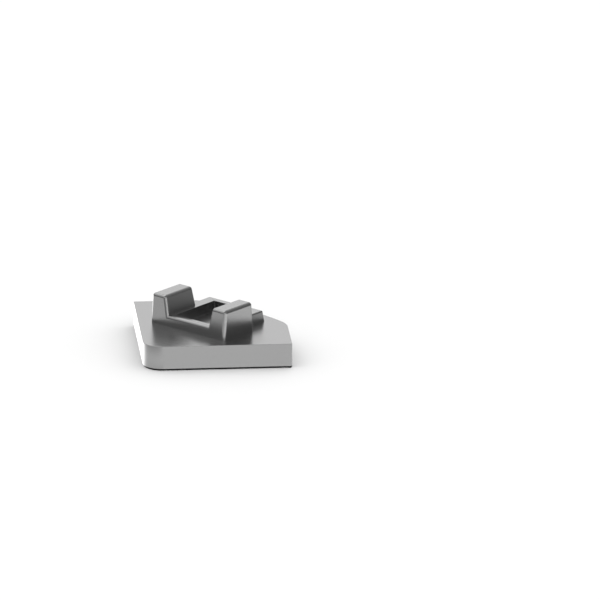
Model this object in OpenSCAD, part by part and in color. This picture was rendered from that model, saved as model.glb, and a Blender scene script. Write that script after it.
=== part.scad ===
/* [Plate] */
// Length of each of the two long straight sides
leg = 18; // [16:0.5:24]
// Thickness of the plate that shows at the end of the profile
plate_t = 3.1; // [2.2:0.1:4]
// Distance from the square corner to the crest of the curved side, along the diagonal
crest_q = 19.2; // [19:0.1:19.4]
// Radius of the curved side
crown_r = 29; // [27:0.5:34]
// Radius that joins the curved side to each short straight side
blend_r = 3.8; // [3:0.1:5]
// Radius of the corner between the two long sides
corner_r = 2.4; // [1:0.1:3]
// Rounding round the edge of the outer face
face_edge_r = 0.3; // [0.1:0.05:0.4]

/* [Plug ring] */
// Distance from the square corner to the front of the plug, along the diagonal
plug_front = 8; // [7:0.05:8.5]
// Width of the ring across the diagonal
ring_w = 8.9; // [8.5:0.1:10]
// Length of the ring along the diagonal
ring_len = 9.3; // [8:0.1:9.5]
// Height of the ring above the plate
ring_h = 1.35; // [1:0.05:2]
// Thickness of each side wall of the ring, at the plate
side_wall = 1.7; // [1.2:0.1:2.2]
// Thickness of the front wall of the ring, at the plate
front_wall = 0.95; // [0.8:0.05:1.6]
// Thickness of the back wall of the ring, at the plate
back_wall = 1.05; // [0.75:0.05:1.4]
// Rounding of the outer edges of the ring
ring_edge_r = 0.2; // [0.1:0.05:0.35]
// Larger rounding of the top of the front wall, between the posts
lead_r = 0.5; // [0.25:0.05:0.6]
// Rounding of the upright corners of the pocket
pocket_r = 0.15; // [0.1:0.05:0.6]

/* [Posts] */
// Overall width across the outer faces of the two posts, at the plate
posts_w = 11.8; // [10.4:0.1:12]
// Gap between the inner faces of the two posts, at the top of the ring
posts_gap = 6.45; // [6:0.05:7.5]
// Length of each post along the diagonal, at the plate
post_len = 5.6; // [4:0.1:6]
// Height of the posts above the plate
post_h = 3.7; // [2.5:0.05:5]
// Rounding of the edges of the posts
post_r = 0.4; // [0.2:0.02:0.5]

/* [Draft] */
// Draft of the front of the plug and of the backs of the posts, in degrees
front_draft = 4; // [1:0.5:6]
// Draft of the sides and the back of the ring, in degrees
ring_draft = 7; // [1:0.5:8]
// Draft of the outer faces of the posts, in degrees
side_draft = 0.5; // [0.25:0.25:4]
// Draft of the inner faces of the posts, in degrees
inner_draft = 12; // [5:0.5:15]

/* [Hidden] */
// How far the plug runs down into the plate, so that the two are one solid
sink = 1.5;
// Reach of a cutting body past the surface that it cuts
over = 1;
// Facets round a ball at the corner of a drafted block
ball_fn = 32;
// Centre of the curved side, and of the arc that joins it to a short side
crown_c = (crest_q - crown_r) / sqrt(2);
blend_x = leg - blend_r;
blend_y = crown_c + sqrt(pow(crown_r - blend_r, 2) - pow(blend_x - crown_c, 2));
// Where the joining arc passes into the curved side
join = crown_r / (crown_r - blend_r);
join_x = crown_c + (blend_x - crown_c) * join;
join_y = crown_c + (blend_y - crown_c) * join;
// Pocket inside the ring
pocket_front = plug_front + front_wall;
pocket_len = ring_len - front_wall - back_wall;
pocket_w = ring_w - 2 * side_wall;
// Distance from the diagonal to the inner face of a post, carried down to the plate
post_inner = posts_gap / 2 - ring_h * tan(inner_draft);

// Disc standing on z = 0, its lower edge rounded by face_edge_r
module edged_disc(r) {
    rotate_extrude($fn = 180) {
        square([r - face_edge_r, plate_t]);
        translate([0, face_edge_r]) square([r, plate_t - face_edge_r]);
        translate([r - face_edge_r, face_edge_r]) circle(face_edge_r, $fn = 32);
    }
}

// Slab as wide as a leg that runs along X past both sides, its lower edges rounded
module edged_slab() {
    translate([-over, 0, 0]) rotate([90, 0, 90]) linear_extrude(leg + 2 * over) {
        translate([face_edge_r, 0]) square([leg - 2 * face_edge_r, plate_t]);
        translate([0, face_edge_r]) square([leg, plate_t - face_edge_r]);
        for (y = [face_edge_r, leg - face_edge_r])
            translate([y, face_edge_r]) circle(face_edge_r, $fn = 32);
    }
}

// What the rounding takes from the square corner
module corner_waste() {
    difference() {
        translate([-over, -over, -over])
            cube([corner_r + over, corner_r + over, plate_t + 2 * over]);
        translate([corner_r, corner_r, 0]) edged_disc(corner_r);
    }
}

// What the joining arc takes from the tip between a short side and the curved side
module tip_waste() {
    difference() {
        translate([0, 0, -over]) linear_extrude(plate_t + 2 * over) polygon([
            [blend_x, blend_y],
            [leg + over, blend_y],
            [leg + over, join_y + over],
            [join_x + (join_x - blend_x), join_y + (join_y - blend_y)],
        ]);
        translate([blend_x, blend_y, 0]) edged_disc(blend_r);
    }
}

// Plate with the outline of the profile: two long sides, two short ones and a curved one
module plate() {
    difference() {
        intersection() {
            edged_slab();
            mirror([1, -1, 0]) edged_slab();
            translate([crown_c, crown_c, 0]) edged_disc(crown_r);
        }
        corner_waste();
        tip_waste();
        mirror([1, -1, 0]) tip_waste();
    }
}

// How far inside a wall, as it stands at the plate, a ball of radius r touches it at height z
function step_in(z, r, draft) = z * tan(draft) + r / cos(draft);

// Block from x0 to x1 and y0 to y1 at the plate, h high above it, that narrows upwards.
// The drafts are those of its faces at x0, x1, y0 and y1, and balls of radius r, each
// touching three faces, round its edges.
module drafted_block(x0, x1, y0, y1, drafts, h, r) {
    hull() for (z = [-sink, h - r],
            x = [x0 + step_in(z, r, drafts[0]), x1 - step_in(z, r, drafts[1])],
            y = [y0 + step_in(z, r, drafts[2]), y1 - step_in(z, r, drafts[3])])
        translate([x, y, z]) sphere(r, $fn = ball_fn);
}

// What the larger rounding takes from the top of the front wall
module lead_waste() {
    centre = plug_front + step_in(ring_h - lead_r, lead_r, front_draft);
    rotate([90, 0, 0]) linear_extrude(ring_w, center = true) difference() {
        polygon([
            [centre, ring_h - lead_r],
            [plug_front - over, ring_h - lead_r + (centre - plug_front + over) * tan(front_draft)],
            [plug_front - over, ring_h + over],
            [centre, ring_h + over],
        ]);
        translate([centre, ring_h - lead_r]) circle(lead_r, $fn = 64);
    }
}

// Low ring that fits inside the profile, with a pocket down to the plate
module ring() {
    difference() {
        drafted_block(plug_front, plug_front + ring_len, -ring_w / 2, ring_w / 2,
            [front_draft, ring_draft, ring_draft, ring_draft], ring_h, ring_edge_r);
        lead_waste();
        translate([pocket_front, -pocket_w / 2, 0]) linear_extrude(ring_h + over) {
            translate([pocket_r, 0]) square([pocket_len - 2 * pocket_r, pocket_w]);
            translate([0, pocket_r]) square([pocket_len, pocket_w - 2 * pocket_r]);
            for (x = [pocket_r, pocket_len - pocket_r], y = [pocket_r, pocket_w - pocket_r])
                translate([x, y]) circle(pocket_r, $fn = 48);
        }
    }
}

// One of the two posts that grip the walls of the profile
module post() {
    drafted_block(plug_front, plug_front + post_len, post_inner, posts_w / 2,
        [front_draft, front_draft, inner_draft, side_draft], post_h, post_r);
}

// The whole cap, moulded in one piece, lying on its outer face
module end_cap() {
    color([0.72, 0.72, 0.73]) translate([-leg / 2, -leg / 2, 0]) {
        plate();
        translate([0, 0, plate_t]) rotate(45) {
            ring();
            post();
            mirror([0, 1, 0]) post();
        }
    }
}

end_cap();
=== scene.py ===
import math

import bmesh
import bpy
import numpy as np
from mathutils import Matrix, Vector


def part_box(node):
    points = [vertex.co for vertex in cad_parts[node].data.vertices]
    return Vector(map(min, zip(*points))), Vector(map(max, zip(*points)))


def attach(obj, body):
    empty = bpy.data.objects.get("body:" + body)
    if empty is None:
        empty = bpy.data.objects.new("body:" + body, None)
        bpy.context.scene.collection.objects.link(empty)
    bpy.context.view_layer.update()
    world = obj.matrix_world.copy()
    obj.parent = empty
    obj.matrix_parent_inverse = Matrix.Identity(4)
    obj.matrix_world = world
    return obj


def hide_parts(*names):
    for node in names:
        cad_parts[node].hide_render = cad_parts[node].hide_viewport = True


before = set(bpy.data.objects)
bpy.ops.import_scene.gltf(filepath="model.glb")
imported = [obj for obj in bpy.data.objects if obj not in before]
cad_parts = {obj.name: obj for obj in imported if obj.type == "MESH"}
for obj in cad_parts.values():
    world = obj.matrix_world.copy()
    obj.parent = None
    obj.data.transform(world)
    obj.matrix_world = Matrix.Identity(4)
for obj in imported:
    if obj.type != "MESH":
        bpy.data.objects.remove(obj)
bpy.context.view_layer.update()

# The cap is one piece, moulded in a hard plastic and painted silver all over. It closes the end of a
# corner profile: a plate with the outline of the profile, and on its back a plug, a low ring with two
# drafted posts, which is pushed into the profile. Every edge has the small rounding of its mould.
# Lengths are in millimetres here, until the finished mesh is scaled.
cad_low, cad_high = [np.array(corner) * 1000 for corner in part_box("end_cap")]
leg = cad_high[0] - cad_low[0]
plate_t = 3.1


def arc(centre, radius, start, end, steps):
    """Points of an arc, and the directions in which they face: centre + radius * (cos t, sin t), where
    t goes from start to end, in degrees, in equal steps."""
    t = np.radians(np.linspace(start, end, steps + 1))
    out = np.stack([np.cos(t), np.sin(t)], -1)
    return np.array(centre) + radius * out, out


def quarter_round(radius, steps):
    """How far a rounded edge steps back from the wall and from the face beyond it, in equal turns that
    start at the wall: radius * (1 - cos t) and radius * (1 - sin t)."""
    t = np.linspace(0, math.pi / 2, steps + 1)
    return radius * (1 - np.cos(t)), radius * (1 - np.sin(t))


def solid_of_rings(name, rings):
    """Closed solid of rings of points, all with as many points: quads join each ring to the next one,
    and a flat face closes the first ring and the last. Points that fall together are merged."""
    count, around = rings.shape[:2]
    ring, i = np.mgrid[0:count - 1, 0:around] * np.array([around, 1])[:, None, None]
    after = (i + 1) % around
    quads = np.stack([ring + i, ring + after, ring + around + after, ring + around + i], -1)
    ends = np.arange(around)[::-1], np.arange(around) + (count - 1) * around
    mesh = bpy.data.meshes.new(name)
    faces = quads.reshape(-1, 4).tolist() + [end.tolist() for end in ends]
    mesh.from_pydata(rings.reshape(-1, 3).tolist(), [], faces)
    clean(mesh)
    solid = bpy.data.objects.new(name, mesh)
    bpy.context.scene.collection.objects.link(solid)
    return solid


def clean(mesh):
    """Merges the points of a mesh that fall together, with the faces that this leaves without a width."""
    bm = bmesh.new()
    bm.from_mesh(mesh)
    bmesh.ops.remove_doubles(bm, verts=bm.verts, dist=1e-4)
    bmesh.ops.dissolve_degenerate(bm, edges=bm.edges, dist=1e-4)
    bm.to_mesh(mesh)
    bm.free()


# Outline of the plate, counted round from the square corner, which is rounded: two long straight sides,
# two short ones, and a curved side between them that an arc joins to each. The two tips are sharp.
corner_r = 2.4
tip_r = 0.1
crest_q = 19.2
crown_r = 29.0
blend_r = 3.8
crown_c = (crest_q - crown_r) / math.sqrt(2)
blend_x = leg - blend_r
blend_y = crown_c + math.sqrt((crown_r - blend_r) ** 2 - (blend_x - crown_c) ** 2)
blend_turn = math.degrees(math.atan2(blend_y - crown_c, blend_x - crown_c))
stretches = [
    arc((corner_r, corner_r), corner_r, 180, 270, 32),
    arc((leg - tip_r, tip_r), tip_r, 270, 360, 6),
    arc((blend_x, blend_y), blend_r, 0, blend_turn, 16),
    arc((crown_c, crown_c), crown_r, blend_turn, 90 - blend_turn, 48),
    arc((blend_y, blend_x), blend_r, 90 - blend_turn, 90, 16),
    arc((tip_r, leg - tip_r), tip_r, 90, 180, 6),
]
outline, facing = [np.concatenate(parts) for parts in zip(*stretches)]

# The edge of the outer face, which is down, is rounded. The one behind the plate is only just broken.
face_edge_r = 0.3
back_edge_r = 0.04
back, rise = quarter_round(face_edge_r, 8)
inset, height = list(back[::-1]), list(rise[::-1])
back, rise = quarter_round(back_edge_r, 4)
inset, height = np.array(inset + list(back)), np.array(height + list(plate_t - rise))
rings = np.empty((len(inset), len(outline), 3))
rings[..., :2] = outline - inset[:, None, None] * facing
rings[..., 2] = height[:, None]
plate = solid_of_rings("plate", rings)

# The plug is laid out along the diagonal of the plate: x runs from the square corner to the curved side,
# y across, and z up from the plate. It reaches down into the plate, so that the two are one solid. Its
# walls lean in, each by the draft that the mould gives it.
sink = 1.5
front_draft = 4.0
ring_draft = 7.0
side_draft = 0.5
inner_draft = 12.0
up = np.array([0.0, 0.0, 1.0])


def slerp(a, b, share):
    """Unit direction a, turned towards unit direction b by a share of the angle between them."""
    angle = np.arccos(np.clip(np.sum(a * b, -1, keepdims=True), -1, 1))
    apart = np.maximum(angle, 1e-9)
    turned = (np.sin((1 - share) * apart) * a + np.sin(share * apart) * b) / np.sin(apart)
    return np.where(angle < 1e-6, a + 0 * turned, turned)


def rolled_edge(foot, walls, radius, top, steps=12):
    """Points that a ball touches as it rolls up the inside of an upright edge, between walls that lean
    in, and on over the top edge: centre + radius * N. N turns from the first wall's normal to the last
    one's along a ring, and from there straight up over the top rings. foot is where the walls meet at
    z = 0, and each wall has a heading and a draft, in degrees. One wall alone gives a place along it."""
    heading, lean = np.radians(walls).T
    out = np.stack([np.cos(heading), np.sin(heading), 0 * heading], -1)
    normal = out * np.cos(lean)[:, None] + up * np.sin(lean)[:, None]
    share = np.linspace(0, 1, steps + 1)[:, None]
    around = slerp(normal[0], normal[-1], share)
    over = slerp(around, up, share[:, None])
    z = np.concatenate([[-sink, -sink / 2], np.full(len(over), top - radius)])
    back = radius / np.cos(lean) + z[:, None] * np.tan(lean)
    centre = np.append(foot, 0) - back @ out + z[:, None] * up
    points = centre[:, None] + radius * np.concatenate([around[None], around[None], over])
    points[0, :, 2] = -sink
    return points


# Ring: its front wall, which shows between the posts, has a larger rounding than the rest, and the
# change from one to the other lies inside the posts. Its front stands a hair behind theirs, so that no
# two faces coincide. The pocket goes down to the plate.
plug_front = 8.0
ring_w = 8.9
ring_len = 9.3
ring_h = 1.35
front_wall = 0.95
back_wall = 1.05
side_wall = 1.7
ring_edge_r = 0.2
lead_r = 0.5
pocket_r = 0.15
pocket_edge_r = 0.03
pocket_floor = 0.01
post_len = 5.6
hair = 0.004
x0, x1, y1 = plug_front + hair, plug_front + ring_len, ring_w / 2
change_len = 1.0
change_from = plug_front + (post_len - change_len) / 2
change_to = change_from + change_len
front, back = (180, front_draft), (0, ring_draft)
left, right = (90, ring_draft), (270, ring_draft)
outside = np.concatenate([
    rolled_edge((x1, y1), [back, left], ring_edge_r, ring_h),
    rolled_edge((change_to, y1), [left], ring_edge_r, ring_h),
    rolled_edge((change_from, y1), [left], lead_r, ring_h),
    rolled_edge((x0, y1), [left, front], lead_r, ring_h),
    rolled_edge((x0, -y1), [front, right], lead_r, ring_h),
    rolled_edge((change_from, -y1), [right], lead_r, ring_h),
    rolled_edge((change_to, -y1), [right], ring_edge_r, ring_h),
    rolled_edge((x1, -y1), [right, (360, ring_draft)], ring_edge_r, ring_h),
], axis=1)
x0, x1, y1 = plug_front + front_wall, plug_front + ring_len - back_wall, ring_w / 2 - side_wall
stretches = [
    arc((x1 - pocket_r, y1 - pocket_r), pocket_r, 0, 90, 12),
    arc((change_to, y1 - pocket_r), pocket_r, 90, 90, 12),
    arc((change_from, y1 - pocket_r), pocket_r, 90, 90, 12),
    arc((x0 + pocket_r, y1 - pocket_r), pocket_r, 90, 180, 12),
    arc((x0 + pocket_r, pocket_r - y1), pocket_r, 180, 270, 12),
    arc((change_from, pocket_r - y1), pocket_r, 270, 270, 12),
    arc((change_to, pocket_r - y1), pocket_r, 270, 270, 12),
    arc((x1 - pocket_r, pocket_r - y1), pocket_r, 270, 360, 12),
]
outline, facing = [np.concatenate(parts) for parts in zip(*stretches)]
back, rise = quarter_round(pocket_edge_r, 6)
inset, height = list(-back[::-1]), list(ring_h - rise[::-1])
inset, height = np.array(inset + list(back)), np.array(height + list(pocket_floor + rise))
pocket = np.empty((len(inset), len(outline), 3))
pocket[..., :2] = outline - inset[:, None, None] * facing
pocket[..., 2] = height[:, None]
ring = solid_of_rings("ring", np.concatenate([outside, pocket]))

# Posts: their inner faces lean in far more than the outward ones, as the mould needs there.
posts_w = 11.8
posts_gap = 6.45
post_h = cad_high[2] - plate_t
post_r = 0.4
x0, x1 = plug_front, plug_front + post_len
y0, y1 = posts_gap / 2 - ring_h * math.tan(math.radians(inner_draft)), posts_w / 2
back, front = (0, front_draft), (180, front_draft)
outer, inner = (90, side_draft), (270, inner_draft)
post = np.concatenate([
    rolled_edge((x1, y1), [back, outer], post_r, post_h),
    rolled_edge((x0, y1), [outer, front], post_r, post_h),
    rolled_edge((x0, y0), [front, inner], post_r, post_h),
    rolled_edge((x1, y0), [inner, (360, front_draft)], post_r, post_h),
], axis=1)
posts = [solid_of_rings("post", post), solid_of_rings("post", post[:, ::-1] * [1, -1, 1])]

# The solids are united, and the one that results is scaled to metres and set where the cap is.
onto_plate = Matrix.Translation((0, 0, plate_t)) @ Matrix.Rotation(math.radians(45), 4, "Z")
for solid in (ring, *posts):
    solid.data.transform(onto_plate)
    union = plate.modifiers.new(solid.name, "BOOLEAN")
    union.object = solid
    union.operation = "UNION"
    union.solver = "EXACT"
bpy.context.view_layer.update()
evaluated = plate.evaluated_get(bpy.context.evaluated_depsgraph_get())
moulding = bpy.data.meshes.new_from_object(evaluated)
moulding.name = "end_cap_moulding"
for solid in (plate, ring, *posts):
    bpy.data.objects.remove(solid)
clean(moulding)
moulding.transform(Matrix.Scale(0.001, 4) @ Matrix.Translation((-leg / 2, -leg / 2, 0)))
moulding.shade_smooth()
sharp_turn = 32
moulding.set_sharp_from_angle(angle=math.radians(sharp_turn))
cap = bpy.data.objects.new("end_cap_moulding", moulding)
bpy.context.scene.collection.objects.link(cap)
weighted = cap.modifiers.new("flat faces stay flat", "WEIGHTED_NORMAL")
weighted.keep_sharp = True
weighted.weight = 90


class Value:
    """A socket of a node tree as a number: its operators add Math nodes, and node() adds any other."""

    def __init__(self, tree, socket=None):
        self.tree, self.socket = tree, socket

    def node(self, kind, output=0, settings=None, sockets=None):
        """An output of a new node: its settings are set first, then its sockets' values or links."""
        made = self.tree.nodes.new(kind)
        for name, setting in (settings or {}).items():
            setattr(made, name, setting)
        for key, value in (sockets or {}).items():
            if isinstance(value, Value):
                self.tree.links.new(value.socket, made.inputs[key])
            else:
                made.inputs[key].default_value = value
        return Value(self.tree, made.outputs[output])

    def math(self, operation, *others):
        """A Math node with this value first."""
        sockets = dict(enumerate((self, *others)))
        return self.node("ShaderNodeMath", 0, {"operation": operation}, sockets)

    def __add__(self, other): return self.math("ADD", other)
    def __radd__(self, other): return self.math("ADD", other)
    def __sub__(self, other): return self.math("SUBTRACT", other)
    def __rsub__(self, other): return self.math("MULTIPLY", -1.0).math("ADD", other)
    def __mul__(self, other): return self.math("MULTIPLY", other)
    def __rmul__(self, other): return self.math("MULTIPLY", other)
    def __truediv__(self, other): return self.math("DIVIDE", other)
    def __rtruediv__(self, other): return self.math("POWER", -1.0).math("MULTIPLY", other)
    def __neg__(self): return self.math("MULTIPLY", -1.0)


# Silver paint on the moulding: a dull metallic coat, which mirrors the studio softly. It is a little
# uneven where it lies thicker, its fine flakes differ, and it has the faint waves of sprayed paint.
silver = bpy.data.materials.new("silver_plastic")
silver.use_nodes = True
tree = silver.node_tree
place = Value(tree).node("ShaderNodeTexCoord", "Object")
thickness = place.node("ShaderNodeTexNoise", 0, None, {"Vector": place, "Scale": 260.0, "Detail": 3.0})
waves = place.node("ShaderNodeTexNoise", 0, None, {"Vector": place, "Scale": 2200.0, "Detail": 1.0})
cells = place.node("ShaderNodeTexVoronoi", "Color", None, {"Vector": place, "Scale": 16000.0})
flakes = cells.node("ShaderNodeSeparateColor", 0, None, {"Color": cells})
share = 0.5 + 0.5 * (thickness - 0.5) + 0.5 * (flakes - 0.5)
dark, pale = 0.282, 0.318
coat = share.node("ShaderNodeMix", 2, {"data_type": "RGBA"}, {
    0: share, 6: (dark, dark, dark, 1), 7: (pale, pale, pale, 1)})
relief = waves.node("ShaderNodeBump", 0, None, {"Height": waves, "Strength": 1.0, "Distance": 4e-7})
paint = tree.nodes["Principled BSDF"]
paint.inputs["Metallic"].default_value = 1.0
tree.links.new(coat.socket, paint.inputs["Base Color"])
tree.links.new((0.26 + 0.04 * (thickness - 0.5)).socket, paint.inputs["Roughness"])
tree.links.new(relief.socket, paint.inputs["Normal"])
moulding.materials.clear()
moulding.materials.append(silver)
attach(cap, "root")
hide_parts("end_cap")

# Floor: a plain pale sheet far wider than the view. The cap mirrors the lit table, which is part of the
# studio light below, in its place.
reach = 3
corners = [(-reach, -reach, 0), (reach, -reach, 0), (reach, reach, 0), (-reach, reach, 0)]
floor_mesh = bpy.data.meshes.new("floor")
floor_mesh.from_pydata(corners, [], [(0, 1, 2, 3)])
floor = bpy.data.objects.new("floor", floor_mesh)
floor.visible_glossy = False
bpy.context.scene.collection.objects.link(floor)
white = bpy.data.materials.new("floor_white")
white.use_nodes = True
sheet = white.node_tree.nodes["Principled BSDF"]
grey = 0.65
sheet.inputs["Base Color"].default_value = (grey, grey, grey, 1)
sheet.inputs["Roughness"].default_value = 1.0
sheet.inputs["Specular IOR Level"].default_value = 0.0
floor_mesh.materials.append(white)

# Studio: seven soft panels, as the cap mirrors them. The azimuth counts from the back, +Y, towards the
# right, +X. What the floor gets is an even light from the whole of it.
studio = bpy.data.worlds.new("studio")
bpy.context.scene.world = studio
studio.use_nodes = True
studio.cycles.sampling_method = "NONE"
tree = studio.node_tree
way = Value(tree).node("ShaderNodeTexCoord", "Generated")
x, y, z = [way.node("ShaderNodeSeparateXYZ", axis, None, {0: way}) for axis in "XYZ"]
azimuth = x.math("ARCTAN2", y).math("DEGREES")
elevation = z.math("ARCSINE").math("DEGREES")


def panel(heading, tilt, width, height, strength):
    """Light of a panel with soft edges: strength * exp(-(a / width)^2 - (e / height)^2), where a and e
    are the azimuth and the elevation counted from its middle. All angles are in degrees."""
    across = (azimuth - heading).math("WRAP", 180.0, -180.0) / width
    above = (elevation - tilt) / height
    return strength * (-(across * across) - above * above).math("EXPONENT")


# The lit table lies all round, with a glare behind on the left and a glow on the right. A back wall
# lights what faces up, a softbox hangs over the back, a strip stands low at the front, and a wide fill
# above it lightens what faces the viewer.
table = panel(200, -18, 200, 12, 1.5)
glare = panel(335, -15, 30, 8, 3.0)
glow = panel(115, -18, 25, 6, 1.4)
wall = panel(0, 12, 50, 18, 1.4)
softbox = panel(340, 70, 60, 30, 2.8)
strip = panel(155, 2, 35, 8, 2.2)
fill = panel(200, 35, 100, 20, 1.2)
mirrored = table + glare + glow + wall + softbox + strip + fill
in_mirror = Value(tree).node("ShaderNodeLightPath", "Is Glossy Ray")
floor_light = 1.58
light = in_mirror * mirrored + (1.0 - in_mirror) * floor_light
tree.links.new(light.socket, tree.nodes["Background"].inputs["Strength"])
tree.nodes["Background"].inputs["Color"].default_value = (1, 1, 1, 1)

# Camera: a long lens from the front, a little to the left and above.
target = Vector((0.01206, 0.0175, 0.0))
heading, pitch, roll = math.radians(4.6), math.radians(18.0), math.radians(0.05)
distance = 2.044
sight = Vector((math.sin(heading) * math.cos(pitch), math.cos(heading) * math.cos(pitch), -math.sin(pitch)))
lens = bpy.data.cameras.new("camera")
lens.lens = 1000
lens.sensor_width = 36
lens.clip_end = 10
camera = bpy.data.objects.new("camera", lens)
turn = sight.to_track_quat("-Z", "Y").to_matrix().to_4x4() @ Matrix.Rotation(roll, 4, "Z")
camera.matrix_world = Matrix.Translation(target - distance * sight) @ turn
bpy.context.scene.collection.objects.link(camera)
bpy.context.scene.camera = camera
bpy.context.scene.view_settings.view_transform = "Standard"
